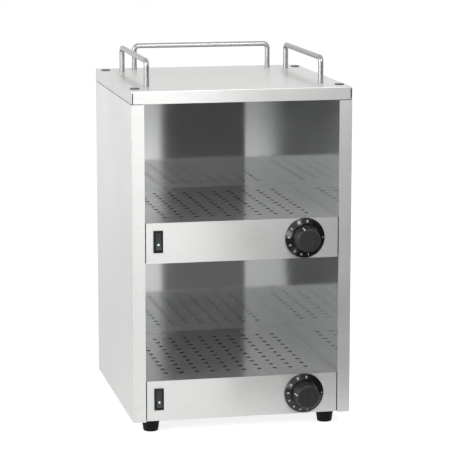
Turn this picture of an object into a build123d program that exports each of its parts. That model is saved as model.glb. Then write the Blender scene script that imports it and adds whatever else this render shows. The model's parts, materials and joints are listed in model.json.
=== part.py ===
from build123d import *
import os
from math import cos, radians, sin

# Two-tier cup warmer, millimetres. The front faces -Y, the floor is Z = 0,
# X = 0 is the middle of the width and Y = 0 the middle of the overall depth.

# Cabinet
body_width = 330
body_depth = 344
body_height = 492
foot_height = 20
wall_thickness = 19
skin = 1.2
liner = 1.0
sheet_gap = 0.2
rear_wall_thickness = 20
lip_width = 12
rear_flange_width = 14
fold_radius = 0.8

# Cover
rim_depth = 18.6
shadow_gap = 1.0
corner_slit = 1.5
cap_diameter = 14
cap_height = 1.6
cap_side_inset = 11
cap_front_inset = 34

# Shelves, measured up from the underside of the cabinet
lower_fascia_height = 1.8
upper_fascia_height = 238.6
fascia_face = 60
fascia_end_gap = 1.5
fascia_return = 13
pan_flange = 10
tray_flange = 8
hole_diameter = 7
hole_pitch_x = 24
hole_pitch_y = 25
tray_margin = 46
tray_side_margin = 36
ledge_size = 12
ledge_inset = 5

# Insulation
insulation_gap = 1.6
top_insulation_gap = 2
insulation_margin = 28
rear_insulation_base = 70

# Gallery rails
rod_diameter = 8
rail_height = 38
rail_bend = 7
side_rail_inset = 33
side_rail_leg_inset = 60
rear_rail_inset = 33
rear_rail_leg_inset = 57
stud_diameter = 5
stud_length = 9
nut_width = 8
nut_height = 4

# Controls
dial_inset = 52
dial_rise = 0.8
ring_diameter = 60
ring_clearance = 0.75
ring_edge_height = 3
ring_height = 6
peg_diameter = 3
peg_clearance = 0.1
knob_base_diameter = 40
knob_face_diameter = 35
knob_projection = 28.5
knob_standoff = 0.8
knob_wall = 2.2
knob_front = 4
knob_edge = 2.5
boss_diameter = 12
boss_gap = 2
pointer_width = 1.5
pointer_length = 10.5
pointer_setback = 0.7
pointer_depth = 0.8
pointer_proud = 0.2
upper_pointer_angle = 23
lower_pointer_angle = 78
spindle_diameter = 6
spindle_flat = 1.5
spindle_end_gap = 2.5
spindle_rear = 12
running_clearance = 0.05
thermostat_width = 36
thermostat_gap = 1.2
thermostat_depth = 28
bush_diameter = 10
bush_length = 7
bush_clearance = 0.2
bush_nut_width = 14
bush_nut_height = 2.5

# Rocker switches
switch_inset = 19.5
switch_rise = 2.5
bezel_side_lip = 1.65
bezel_end_lip = 1.5
bezel_thickness = 2
housing_width = 11
housing_height = 30
housing_depth = 18
cutout_clearance = 0.1
housing_wall = 1.1
window_depth = 12
rocker_side_gap = 0.2
rocker_end_gap = 1.1
rocker_end = 5.8
rocker_middle = 3.5
rocker_heel = 0.5
rocker_back = 5
rocker_back_height = 10
rocker_throw = 16
pivot_depth = 2
pivot_diameter = 2
pivot_engagement = 0.8
lens_diameter = 3
lens_drop = 5
lens_depth = 2
lens_proud = 0.3

# Heating and wiring
element_diameter = 8
element_dial_offset = 4
element_turn_setback = 20
element_rear_margin = 34
element_pin_diameter = 3
element_pin_length = 12
bracket_sheet = 1.5
bracket_foot = 12
bracket_front_gap = 5
bracket_rear_gap = 20
bracket_side_margin = 18
bracket_bulb_margin = 8
bracket_above = 12
bulb_diameter = 6
bulb_length = 70
bulb_wall_inset = 24
bulb_overhang = 20
capillary_diameter = 2
capillary_dial_offset = 10
capillary_bend = 6
blade_width = 6.3
blade_thickness = 0.8
blade_length = 7
terminal_step = 9
phase_dial_offset = 8
wire_diameter = 2.4
wire_bend = 7
wire_lead = 13.8
wire_floor_rise = 7.6
grommet_diameter = 8
grommet_flange = 11
grommet_flange_thickness = 1
grommet_bore_clearance = 0.1
riser_depth = 16
block_width = 50
block_depth = 22
block_height = 20
block_wall_inset = 46
block_rear_margin = 12
supply_wire_offset = 18
riser_wire_offset = 23
terminal_bore = 4
terminal_bore_depth = 8

# Cable gland
gland_rise = 33
gland_diameter = 16
gland_flange = 24
gland_projection = 12
gland_flange_thickness = 4
gland_bore = 9
gland_tail = 8
gland_clearance = 0.2

# Feet and fasteners
foot_top_diameter = 28
foot_bottom_diameter = 22
foot_flange_gap = 1.8
foot_inset = 30
foot_counterbore = 11
foot_counterbore_depth = 8
foot_screw_diameter = 5
foot_screw_head = 9
foot_screw_head_height = 3
foot_nut_width = 8
foot_nut_height = 4
panel_screw_diameter = 4
panel_screw_head = 8
panel_screw_head_height = 2.2
panel_screw_length = 8
panel_screw_rise = 60
panel_screw_middle = 256
panel_screw_drop = 42
cover_screw_head_height = 1
cover_screw_length = 7
screw_clearance = 0.15

# Places worked out from the sizes above
half_width = body_width / 2
inner_x = half_width - wall_thickness
liner_outer_x = inner_x + liner
skin_inner_x = half_width - skin
front_y = knob_projection - (knob_projection + body_depth + gland_projection) / 2
rear_y = front_y + body_depth
skin_back_y = front_y + skin
rear_skin_y = rear_y - skin
rear_flange_y = rear_skin_y - skin
back_wall_y = rear_y - rear_wall_thickness
interior_depth = body_depth - rear_wall_thickness
bottom_z = foot_height
base_z = bottom_z + skin
floor_z = base_z + skin
top_z = bottom_z + body_height
cover_under_z = top_z - skin
rim_z = top_z - rim_depth
skin_top_z = rim_z - shadow_gap
lower_fascia_z = bottom_z + lower_fascia_height
upper_fascia_z = bottom_z + upper_fascia_height
upper_floor_z = upper_fascia_z + liner
flange_inner_x = skin_inner_x - rear_flange_width
cap_x = half_width - cap_side_inset
cap_front_y = front_y + cap_front_inset
cap_rear_y = rear_y - cap_front_inset
foot_x = flange_inner_x - foot_top_diameter / 2 - foot_flange_gap
foot_front_y = front_y + foot_inset
foot_rear_y = rear_y - foot_inset
side_rail_x = half_width - side_rail_inset
rear_rail_y = rear_y - rear_rail_inset
rear_rail_half_span = half_width - rear_rail_leg_inset
wall_insulation = wall_thickness - skin - liner - insulation_gap
rear_insulation_thickness = rear_wall_thickness - liner - 2 * skin - insulation_gap
top_insulation_thickness = rim_depth - liner - stud_length - top_insulation_gap
hole_columns = int(2 * (inner_x - tray_side_margin) / hole_pitch_x) + 1
hole_rows = int((interior_depth - 2 * tray_margin) / hole_pitch_y) + 1
dial_x = inner_x - dial_inset
ring_bore = knob_base_diameter + 2 * ring_clearance
peg_radius = (ring_bore + ring_diameter) / 4
boss_setback = bush_length + boss_gap
spindle_front = knob_projection - knob_front - spindle_end_gap
thermostat_height = fascia_face - 2 * (dial_rise + tray_flange + thermostat_gap)
switch_x = switch_inset - inner_x
bezel_width = housing_width + 2 * bezel_side_lip
bezel_height = housing_height + 2 * bezel_end_lip
window_width = housing_width - 2 * housing_wall
window_height = housing_height - 2 * housing_wall
rocker_width = window_width - 2 * rocker_side_gap
rocker_height = window_height - 2 * rocker_end_gap
element_outer_x = dial_x - element_dial_offset
element_inner_x = element_outer_x / 3
element_turn = (element_outer_x - element_inner_x) / 2 - sheet_gap
wire_run_depth = skin + thermostat_depth + blade_length + wire_lead
element_front = wire_run_depth + wire_lead + element_pin_length
element_turn_front = element_front + element_turn_setback
element_rear = interior_depth - element_rear_margin
bracket_front = element_turn_front + element_turn + bracket_front_gap
bracket_rear = element_rear - element_turn - bracket_rear_gap
bulb_x = inner_x - bulb_wall_inset
bulb_front = bracket_front - bulb_overhang
bracket_left = element_outer_x + bracket_side_margin
bracket_right = bulb_x + bracket_bulb_margin
capillary_x = dial_x + capillary_dial_offset
phase_terminal_x = dial_x - phase_dial_offset
riser_x = (liner_outer_x + skin_inner_x) / 2
block_x = block_wall_inset - inner_x
block_front = interior_depth - block_rear_margin - block_depth
block_wire_x = block_x - supply_wire_offset
riser_start_x = block_x - riser_wire_offset
gland_z = bottom_z + gland_rise
panel_screw_rows = (panel_screw_rise, panel_screw_middle, body_height - panel_screw_drop)
panel_screw_x = flange_inner_x + rear_flange_width / 2

cap_places = [(x, y) for x in (-cap_x, cap_x) for y in (cap_front_y, cap_rear_y)]
foot_places = [(x, y) for x in (-foot_x, foot_x) for y in (foot_front_y, foot_rear_y)]
panel_screw_places = [
    (side * panel_screw_x, bottom_z + rise) for side in (-1, 1) for rise in panel_screw_rows
]
rail_leg_places = [
    (side * side_rail_x, y)
    for side in (-1, 1)
    for y in (front_y + side_rail_leg_inset, rear_y - side_rail_leg_inset)
] + [(side * rear_rail_half_span, rear_rail_y) for side in (-1, 1)]

# Each shelf: the underside of its fascia, the floor of its heater space, where its pointer
# stands in degrees anticlockwise from the top, and its name.
shelves = [
    ("lower", lower_fascia_z, floor_z, lower_pointer_angle),
    ("upper", upper_fascia_z, upper_floor_z, upper_pointer_angle),
]


def tray_top(fascia_z):
    return fascia_z + fascia_face


def dial_z(fascia_z):
    return fascia_z + fascia_face / 2 + dial_rise


def switch_z(fascia_z):
    return fascia_z + fascia_face / 2 + switch_rise


def block(x_from, x_to, y_from, y_to, z_from, z_to, mode=Mode.ADD):
    """A square-cornered block between two corners."""
    with Locations(((x_from + x_to) / 2, (y_from + y_to) / 2, (z_from + z_to) / 2)):
        Box(abs(x_to - x_from), abs(y_to - y_from), abs(z_to - z_from), mode=mode)


def facing_front(x, y, z):
    """A plane whose normal points out of the front, with its X axis to the right."""
    return Plane(origin=(x, y, z), x_dir=(1, 0, 0), z_dir=(0, -1, 0))


def facing_rear(x, y, z):
    """A plane whose normal points out of the rear, with its X axis to the left."""
    return Plane(origin=(x, y, z), x_dir=(-1, 0, 0), z_dir=(0, 1, 0))


def disc(plane, diameter, length, mode=Mode.ADD):
    """A round bar that starts on a plane and runs along its normal."""
    with BuildSketch(plane) as section:
        Circle(diameter / 2)
    extrude(section.sketch, amount=length, mode=mode)


def knob_half(plane, growth):
    """Half of the knob's outline, from its axis outwards, grown or shrunk all round."""
    with BuildSketch(plane) as section:
        with BuildLine():
            Polyline(
                (0, knob_standoff),
                (knob_base_diameter / 2, knob_standoff),
                (knob_face_diameter / 2, knob_projection),
                (0, knob_projection),
                close=True,
            )
        make_face()
        corner = (knob_face_diameter / 2, knob_projection)
        fillet(section.vertices().sort_by_distance(corner)[0], knob_edge)
        offset(amount=growth)
    return section.sketch


def tube(points, diameter, bend):
    """A round rod along straight runs joined by arcs of one radius."""
    with BuildLine() as route:
        FilletPolyline(*points, radius=bend)
    with BuildSketch(Plane(origin=route.line @ 0, z_dir=route.line % 0)) as section:
        Circle(diameter / 2)
    sweep(section.sketch, path=route.line)


def save(builder, name):
    """Labels a finished piece and writes it."""
    builder.part.label = name
    export_step(builder.part, f"parts/{name}.step")


# Outer side panels: the side, the front post, and rear, top and bottom flanges in one sheet
for side, name in ((-1, "left_outer_panel"), (1, "right_outer_panel")):
    with BuildPart() as outer_panel:
        with BuildSketch(Plane.XY.offset(bottom_z)):
            with BuildLine():
                Polyline(
                    (side * inner_x, front_y),
                    (side * half_width, front_y),
                    (side * half_width, rear_y),
                    (side * skin_inner_x, rear_y),
                    (side * skin_inner_x, rear_skin_y),
                    (side * flange_inner_x, rear_skin_y),
                    (side * flange_inner_x, rear_flange_y),
                    (side * skin_inner_x, rear_flange_y),
                    (side * skin_inner_x, skin_back_y),
                    (side * inner_x, skin_back_y),
                    close=True,
                )
            make_face()
        extrude(amount=skin_top_z - bottom_z)
        corner = outer_panel.edges().filter_by(Axis.Z).filter_by(
            lambda edge: abs(edge.center().X) > half_width - 0.01
            and edge.center().Y < front_y + 0.01
        )
        fillet(corner, fold_radius)
        block(
            side * flange_inner_x, side * skin_inner_x,
            skin_back_y, rear_flange_y,
            bottom_z, base_z,
        )
        block(
            side * liner_outer_x, side * skin_inner_x,
            skin_back_y, rear_flange_y,
            skin_top_z - skin, skin_top_z,
        )
        for x, z in panel_screw_places:
            if x * side > 0:
                disc(
                    facing_rear(x, rear_flange_y - skin, z),
                    panel_screw_diameter + 2 * screw_clearance,
                    3 * skin,
                    mode=Mode.SUBTRACT,
                )
    save(outer_panel, name)

# Inner side panels: the compartment walls, with a front lip behind the post and a top
# flange that carries the cover
for side, name in ((-1, "left_inner_panel"), (1, "right_inner_panel")):
    with BuildPart() as inner_panel:
        block(
            side * inner_x, side * liner_outer_x,
            skin_back_y, back_wall_y + liner,
            floor_z, cover_under_z,
        )
        block(
            side * liner_outer_x, side * (liner_outer_x + lip_width),
            skin_back_y, skin_back_y + liner,
            floor_z, skin_top_z - skin,
        )
        block(
            side * liner_outer_x, side * (liner_outer_x + lip_width),
            skin_back_y, back_wall_y + liner,
            cover_under_z - liner, cover_under_z,
        )
        for x, y in cap_places:
            if x * side > 0:
                disc(
                    Plane(origin=(x, y, cover_under_z - 2 * liner), z_dir=(0, 0, 1)),
                    panel_screw_diameter + 2 * screw_clearance,
                    3 * liner,
                    mode=Mode.SUBTRACT,
                )
        if side < 0:
            for riser_z in (floor_z, upper_floor_z):
                disc(
                    Plane(
                        origin=(
                            -liner_outer_x - liner,
                            front_y + riser_depth,
                            riser_z + wire_floor_rise,
                        ),
                        z_dir=(1, 0, 0),
                    ),
                    grommet_diameter + 2 * running_clearance,
                    3 * liner,
                    mode=Mode.SUBTRACT,
                )
    save(inner_panel, name)

# Rear walls
with BuildPart() as rear_outer_panel:
    block(
        -skin_inner_x + sheet_gap, skin_inner_x - sheet_gap,
        rear_skin_y, rear_y,
        base_z + sheet_gap, skin_top_z,
    )
    for x, z in panel_screw_places:
        disc(
            facing_rear(x, rear_skin_y - skin, z),
            panel_screw_diameter + 2 * screw_clearance,
            3 * skin,
            mode=Mode.SUBTRACT,
        )
    disc(
        facing_rear(block_x, rear_skin_y - skin, gland_z),
        gland_diameter + 2 * gland_clearance,
        3 * skin,
        mode=Mode.SUBTRACT,
    )
save(rear_outer_panel, "rear_outer_panel")

with BuildPart() as rear_inner_panel:
    block(-inner_x, inner_x, back_wall_y, back_wall_y + liner, floor_z, cover_under_z)
    block(
        -inner_x, inner_x,
        back_wall_y + liner, back_wall_y + liner + lip_width,
        cover_under_z - liner, cover_under_z,
    )
    disc(
        facing_rear(block_x, back_wall_y - liner, gland_z),
        gland_diameter,
        3 * liner,
        mode=Mode.SUBTRACT,
    )
save(rear_inner_panel, "rear_inner_panel")

# Base plate on the bottom flanges of the side panels
with BuildPart() as base_plate:
    block(
        -skin_inner_x + sheet_gap, skin_inner_x - sheet_gap,
        skin_back_y, rear_flange_y - sheet_gap,
        base_z, floor_z,
    )
    for x, y in foot_places:
        disc(
            Plane(origin=(x, y, base_z - skin), z_dir=(0, 0, 1)),
            foot_screw_diameter + 2 * screw_clearance,
            3 * skin,
            mode=Mode.SUBTRACT,
        )
save(base_plate, "base_plate")

# Cover: a shallow lid with a rim all round, slit at its corners where the flanges meet
with BuildPart() as top_cover:
    block(-half_width, half_width, front_y, rear_y, rim_z, top_z)
    upright = top_cover.edges().filter_by(Axis.Z)
    fillet(upright, fold_radius)
    upper_edges = top_cover.faces().sort_by(Axis.Z)[-1].edges()
    fillet(upper_edges, fold_radius)
    block(
        -skin_inner_x, skin_inner_x,
        skin_back_y, rear_skin_y,
        rim_z, cover_under_z,
        mode=Mode.SUBTRACT,
    )
    for side in (-1, 1):
        for y_from, y_to in (
            (front_y - skin, skin_back_y),
            (rear_skin_y, rear_y + skin),
        ):
            block(
                side * (skin_inner_x - corner_slit), side * skin_inner_x,
                y_from, y_to,
                rim_z, cover_under_z - skin,
                mode=Mode.SUBTRACT,
            )
    for x, y in rail_leg_places:
        disc(
            Plane(origin=(x, y, cover_under_z - skin), z_dir=(0, 0, 1)),
            stud_diameter + 2 * screw_clearance,
            3 * skin,
            mode=Mode.SUBTRACT,
        )
    for x, y in cap_places:
        disc(
            Plane(origin=(x, y, cover_under_z - skin), z_dir=(0, 0, 1)),
            panel_screw_diameter + 2 * screw_clearance,
            3 * skin,
            mode=Mode.SUBTRACT,
        )
save(top_cover, "top_cover")

with BuildPart() as ceiling_panel:
    block(-inner_x, inner_x, skin_back_y, back_wall_y, rim_z, rim_z + liner)
    block(
        -inner_x, inner_x,
        skin_back_y, skin_back_y + liner,
        rim_z + liner, rim_z + liner + pan_flange,
    )
    for side in (-1, 1):
        block(
            side * (inner_x - liner), side * inner_x,
            skin_back_y + liner, back_wall_y,
            rim_z + liner, rim_z + liner + pan_flange,
        )
save(ceiling_panel, "ceiling_panel")

# Insulation slabs in the double walls
for side, name in ((-1, "left_insulation"), (1, "right_insulation")):
    with BuildPart() as wall_slab:
        block(
            side * liner_outer_x, side * (liner_outer_x + wall_insulation),
            front_y + insulation_margin, back_wall_y,
            floor_z + sheet_gap, skin_top_z - skin - sheet_gap,
        )
    save(wall_slab, name)

with BuildPart() as rear_insulation:
    block(
        -inner_x, inner_x,
        back_wall_y + liner, back_wall_y + liner + rear_insulation_thickness,
        bottom_z + rear_insulation_base, skin_top_z - skin - sheet_gap,
    )
save(rear_insulation, "rear_insulation")

with BuildPart() as top_insulation:
    block(
        -inner_x + 2 * liner, inner_x - 2 * liner,
        skin_back_y + 2 * liner, back_wall_y - liner,
        rim_z + liner, rim_z + liner + top_insulation_thickness,
    )
save(top_insulation, "top_insulation")


def rail(points):
    """A bent rod with a stud under each leg."""
    tube(points, rod_diameter, rail_bend)
    for end in (points[0], points[-1]):
        disc(Plane(origin=end, z_dir=(0, 0, -1)), stud_diameter, stud_length)


# Gallery rails: three separate rods bent into low bridges
for side, name in ((-1, "left_rail"), (1, "right_rail")):
    with BuildPart() as side_rail:
        rail([
            (side * side_rail_x, front_y + side_rail_leg_inset, top_z),
            (side * side_rail_x, front_y + side_rail_leg_inset, top_z + rail_height),
            (side * side_rail_x, rear_y - side_rail_leg_inset, top_z + rail_height),
            (side * side_rail_x, rear_y - side_rail_leg_inset, top_z),
        ])
    save(side_rail, name)

with BuildPart() as rear_rail:
    rail([
        (-rear_rail_half_span, rear_rail_y, top_z),
        (-rear_rail_half_span, rear_rail_y, top_z + rail_height),
        (rear_rail_half_span, rear_rail_y, top_z + rail_height),
        (rear_rail_half_span, rear_rail_y, top_z),
    ])
save(rear_rail, "rear_rail")


def hex_nuts(places, z_from, width, height, bore):
    """Hexagon nuts standing on one level."""
    with BuildSketch(Plane.XY.offset(z_from)) as section:
        with Locations(*places):
            RegularPolygon(width / 2, 6, major_radius=False)
            Circle(bore / 2, mode=Mode.SUBTRACT)
    extrude(section.sketch, amount=height)


with BuildPart() as rail_nuts:
    hex_nuts(
        rail_leg_places,
        cover_under_z - nut_height,
        nut_width,
        nut_height,
        stud_diameter + 2 * running_clearance,
    )
save(rail_nuts, "rail_nuts")

# Cover screws and the flat dark caps that snap over their heads
with BuildPart() as cover_screws:
    for x, y in cap_places:
        disc(
            Plane(origin=(x, y, top_z), z_dir=(0, 0, 1)),
            panel_screw_head,
            cover_screw_head_height,
        )
        disc(
            Plane(origin=(x, y, top_z), z_dir=(0, 0, -1)),
            panel_screw_diameter,
            cover_screw_length,
        )
save(cover_screws, "cover_screws")

with BuildPart() as cover_caps:
    for x, y in cap_places:
        disc(Plane(origin=(x, y, top_z), z_dir=(0, 0, 1)), cap_diameter, cap_height)
    cap_rims = cover_caps.faces().filter_by(
        lambda face: face.center().Z > top_z + cap_height - 0.01
    ).edges()
    fillet(cap_rims, cap_height / 3)
    for x, y in cap_places:
        disc(
            Plane(origin=(x, y, top_z), z_dir=(0, 0, 1)),
            panel_screw_head + 2 * screw_clearance,
            cover_screw_head_height,
            mode=Mode.SUBTRACT,
        )
save(cover_caps, "cover_caps")

# Floor of the upper heater space, which is also the ceiling of the lower compartment
with BuildPart() as upper_shelf_pan:
    block(-inner_x, inner_x, skin_back_y, back_wall_y, upper_fascia_z, upper_floor_z)
    for side in (-1, 1):
        block(
            side * (inner_x - liner), side * inner_x,
            front_y + insulation_margin, back_wall_y,
            upper_floor_z, upper_floor_z + pan_flange,
        )
save(upper_shelf_pan, "upper_shelf_pan")

fascia_half = inner_x - fascia_end_gap
tray_front_y = skin_back_y + sheet_gap
tray_rear_y = back_wall_y - sheet_gap
tray_half = inner_x - sheet_gap

for shelf, fascia_z, heater_floor_z, pointer_angle in shelves:
    tray_z = tray_top(fascia_z)
    knob_z = dial_z(fascia_z)
    rocker_z = switch_z(fascia_z)

    # Fascia: a flat front with a return along its foot, pierced for the controls
    with BuildPart() as fascia:
        block(-fascia_half, fascia_half, front_y, skin_back_y, fascia_z, tray_z)
        block(
            -fascia_half, fascia_half,
            skin_back_y, skin_back_y + fascia_return,
            heater_floor_z, heater_floor_z + skin,
        )
        block(
            switch_x - housing_width / 2 - cutout_clearance,
            switch_x + housing_width / 2 + cutout_clearance,
            front_y - skin, skin_back_y,
            rocker_z - housing_height / 2 - cutout_clearance,
            rocker_z + housing_height / 2 + cutout_clearance,
            mode=Mode.SUBTRACT,
        )
        disc(
            facing_front(dial_x, skin_back_y, knob_z),
            bush_diameter + 2 * bush_clearance,
            2 * skin,
            mode=Mode.SUBTRACT,
        )
        for side in (-1, 1):
            disc(
                facing_front(dial_x + side * peg_radius, skin_back_y, knob_z),
                peg_diameter + 2 * peg_clearance,
                2 * skin,
                mode=Mode.SUBTRACT,
            )
    save(fascia, f"{shelf}_fascia")

    # Tray: perforated sheet with a turned-down front and rear edge
    with BuildPart() as tray:
        block(-tray_half, tray_half, tray_front_y, tray_rear_y, tray_z - liner, tray_z)
        block(
            -tray_half, tray_half,
            tray_front_y, tray_front_y + liner,
            tray_z - tray_flange, tray_z - liner,
        )
        block(
            -tray_half, tray_half,
            tray_rear_y - liner, tray_rear_y,
            tray_z - tray_flange, tray_z - liner,
        )
        grid_y = front_y + tray_margin + (hole_rows - 1) * hole_pitch_y / 2
        with BuildSketch(Plane.XY.offset(tray_z)):
            with Locations((0, grid_y)):
                with GridLocations(hole_pitch_x, hole_pitch_y, hole_columns, hole_rows):
                    Circle(hole_diameter / 2)
        extrude(amount=-liner, mode=Mode.SUBTRACT)
    save(tray, f"{shelf}_tray")

    # Ledges: two angles on the walls that the tray rests on
    with BuildPart() as ledges:
        for side in (-1, 1):
            block(
                side * (inner_x - ledge_size), side * inner_x,
                tray_front_y + ledge_inset, tray_rear_y - ledge_inset,
                tray_z - 2 * liner, tray_z - liner,
            )
            block(
                side * (inner_x - liner), side * inner_x,
                tray_front_y + ledge_inset, tray_rear_y - ledge_inset,
                tray_z - 2 * liner - ledge_size, tray_z - 2 * liner,
            )
    save(ledges, f"{shelf}_tray_ledges")

    # Heating element: one tube bent back and forth, with a pin at each end
    with BuildPart() as element:
        front_pin_y = front_y + element_front
        turn_y = front_y + element_rear
        inner_turn_y = front_y + element_turn_front
        tube(
            [
                (-element_outer_x, front_pin_y, rocker_z),
                (-element_outer_x, turn_y, rocker_z),
                (-element_inner_x, turn_y, rocker_z),
                (-element_inner_x, inner_turn_y, rocker_z),
                (element_inner_x, inner_turn_y, rocker_z),
                (element_inner_x, turn_y, rocker_z),
                (element_outer_x, turn_y, rocker_z),
                (element_outer_x, front_pin_y, rocker_z),
            ],
            element_diameter,
            element_turn,
        )
        for x in (-element_outer_x, element_outer_x):
            disc(facing_front(x, front_pin_y, rocker_z), element_pin_diameter, element_pin_length)
    save(element, f"{shelf}_heating_element")

    # Two upright plates on feet hold the element's four runs and the sensing bulb
    with BuildPart() as brackets:
        for depth in (bracket_front, bracket_rear):
            plate_y = front_y + depth
            block(
                -bracket_left, bracket_right,
                plate_y, plate_y + bracket_sheet,
                heater_floor_z, rocker_z + bracket_above,
            )
            block(
                -bracket_left, bracket_right,
                plate_y, plate_y + bracket_foot,
                heater_floor_z, heater_floor_z + bracket_sheet,
            )
            for x in (-element_outer_x, -element_inner_x, element_inner_x, element_outer_x):
                disc(
                    facing_rear(x, plate_y - bracket_sheet, rocker_z),
                    element_diameter + 2 * running_clearance,
                    3 * bracket_sheet,
                    mode=Mode.SUBTRACT,
                )
        disc(
            facing_rear(bulb_x, front_y + bracket_front - bracket_sheet, rocker_z),
            bulb_diameter + 2 * running_clearance,
            3 * bracket_sheet,
            mode=Mode.SUBTRACT,
        )
    save(brackets, f"{shelf}_element_brackets")

    # Thermostat: a block behind the fascia with a bored bush through it
    with BuildPart() as thermostat:
        block(
            dial_x - thermostat_width / 2, dial_x + thermostat_width / 2,
            skin_back_y, skin_back_y + thermostat_depth,
            knob_z - thermostat_height / 2, knob_z + thermostat_height / 2,
        )
        disc(facing_front(dial_x, skin_back_y, knob_z), bush_diameter, skin + bush_length)
        disc(
            facing_front(dial_x, front_y + spindle_rear + running_clearance, knob_z),
            spindle_diameter + 2 * running_clearance,
            spindle_rear + running_clearance + bush_length + skin,
            mode=Mode.SUBTRACT,
        )
    save(thermostat, f"{shelf}_thermostat")

    # Sensing bulb and its capillary, in one plane with the element
    with BuildPart() as bulb:
        thermostat_back_y = skin_back_y + thermostat_depth
        tube(
            [
                (capillary_x, thermostat_back_y, rocker_z),
                (capillary_x, front_y + wire_run_depth, rocker_z),
                (bulb_x, front_y + wire_run_depth, rocker_z),
                (bulb_x, front_y + bulb_front, rocker_z),
            ],
            capillary_diameter,
            capillary_bend,
        )
        disc(facing_rear(bulb_x, front_y + bulb_front, rocker_z), bulb_diameter, bulb_length)
    save(bulb, f"{shelf}_capillary_bulb")

    # Dial ring: a fixed shallow cone round the knob, pegged into the fascia
    with BuildPart() as dial_ring:
        with BuildSketch(Plane(origin=(dial_x, front_y, knob_z), x_dir=(1, 0, 0), z_dir=(0, 0, 1))):
            with BuildLine():
                Polyline(
                    (ring_bore / 2, 0),
                    (ring_diameter / 2, 0),
                    (ring_diameter / 2, -ring_edge_height),
                    (ring_bore / 2, -ring_height),
                    close=True,
                )
            make_face()
        revolve(axis=Axis((dial_x, front_y, knob_z), (0, -1, 0)))
        ring_rim = dial_ring.edges().filter_by(GeomType.CIRCLE).sort_by(Axis.Y)[:2]
        fillet(ring_rim, ring_edge_height / 6)
        for side in (-1, 1):
            disc(
                facing_rear(dial_x + side * peg_radius, front_y, knob_z),
                peg_diameter,
                skin,
            )
    save(dial_ring, f"{shelf}_dial_ring")

    # Spindle: a round shaft with a flat where the knob grips it
    with BuildPart() as spindle:
        disc(
            facing_front(dial_x, front_y + spindle_rear, knob_z),
            spindle_diameter,
            spindle_rear + spindle_front,
        )
        block(
            dial_x - spindle_diameter, dial_x + spindle_diameter,
            front_y - spindle_front, front_y - boss_setback,
            knob_z + spindle_diameter / 2 - spindle_flat, knob_z + spindle_diameter,
            mode=Mode.SUBTRACT,
        )
    save(spindle, f"{shelf}_spindle")

    # Knob: a tapered hollow cap with a boss for the spindle. Its pointer is a stripe let into
    # the side, from the rounded edge back, on a plane that runs outwards and forwards.
    pointer_direction = Vector(-sin(radians(pointer_angle)), 0, cos(radians(pointer_angle)))
    pointer_plane = Plane(
        origin=(dial_x, front_y, knob_z),
        x_dir=pointer_direction,
        z_dir=pointer_direction.cross(Vector(0, -1, 0)),
    )
    with BuildSketch(pointer_plane) as pointer_window:
        with Locations((knob_base_diameter / 2, knob_projection - pointer_setback - pointer_length / 2)):
            Rectangle(knob_base_diameter - knob_face_diameter + 2 * knob_edge, pointer_length)
    stripe = knob_half(pointer_plane, pointer_proud) - knob_half(pointer_plane, -pointer_depth)
    stripe = stripe & pointer_window.sketch
    with BuildPart() as knob:
        with BuildSketch(Plane(origin=(dial_x, front_y, knob_z), x_dir=(1, 0, 0), z_dir=(0, 0, 1))):
            with BuildLine():
                Polyline(
                    (0, -boss_setback),
                    (boss_diameter / 2, -boss_setback),
                    (boss_diameter / 2, -knob_projection + knob_front),
                    (knob_face_diameter / 2 - knob_wall, -knob_projection + knob_front),
                    (knob_base_diameter / 2 - knob_wall, -knob_standoff),
                    (knob_base_diameter / 2, -knob_standoff),
                    (knob_face_diameter / 2, -knob_projection),
                    (0, -knob_projection),
                    close=True,
                )
            make_face()
        revolve(axis=Axis((dial_x, front_y, knob_z), (0, -1, 0)))
        face_edge = knob.edges().filter_by(GeomType.CIRCLE).sort_by(Axis.Y)[0]
        fillet(face_edge, knob_edge)
        with BuildSketch(facing_front(dial_x, front_y - boss_setback, knob_z)):
            Circle(spindle_diameter / 2 + running_clearance)
            with Locations((0, spindle_diameter - spindle_flat + running_clearance)):
                Rectangle(2 * spindle_diameter, spindle_diameter, mode=Mode.SUBTRACT)
        extrude(amount=spindle_front - boss_setback + running_clearance, mode=Mode.SUBTRACT)
        extrude(stripe, amount=pointer_width / 2, both=True, mode=Mode.SUBTRACT)
    save(knob, f"{shelf}_knob")

    with BuildPart() as pointer:
        extrude(stripe, amount=pointer_width / 2, both=True)
    save(pointer, f"{shelf}_pointer")

    # Rocker switch: a framed housing pushed through the fascia, open at the front
    pivot = Vector(switch_x, front_y + pivot_depth, rocker_z)
    with BuildPart() as housing:
        block(
            switch_x - bezel_width / 2, switch_x + bezel_width / 2,
            front_y - bezel_thickness, front_y,
            rocker_z - bezel_height / 2, rocker_z + bezel_height / 2,
        )
        rounded = housing.edges().filter_by(Axis.Y)
        fillet(rounded, fold_radius)
        front_rim = housing.faces().sort_by(Axis.Y)[0].edges()
        fillet(front_rim, bezel_thickness / 4)
        block(
            switch_x - housing_width / 2, switch_x + housing_width / 2,
            front_y, front_y + housing_depth,
            rocker_z - housing_height / 2, rocker_z + housing_height / 2,
        )
        block(
            switch_x - window_width / 2, switch_x + window_width / 2,
            front_y - 2 * bezel_thickness, front_y + window_depth,
            rocker_z - window_height / 2, rocker_z + window_height / 2,
            mode=Mode.SUBTRACT,
        )
        pin_reach = window_width / 2 + pivot_engagement + running_clearance
        disc(
            Plane(origin=pivot - Vector(pin_reach, 0, 0), z_dir=(1, 0, 0)),
            pivot_diameter + 2 * running_clearance,
            2 * pin_reach,
            mode=Mode.SUBTRACT,
        )
    save(housing, f"{shelf}_switch_housing")

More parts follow.
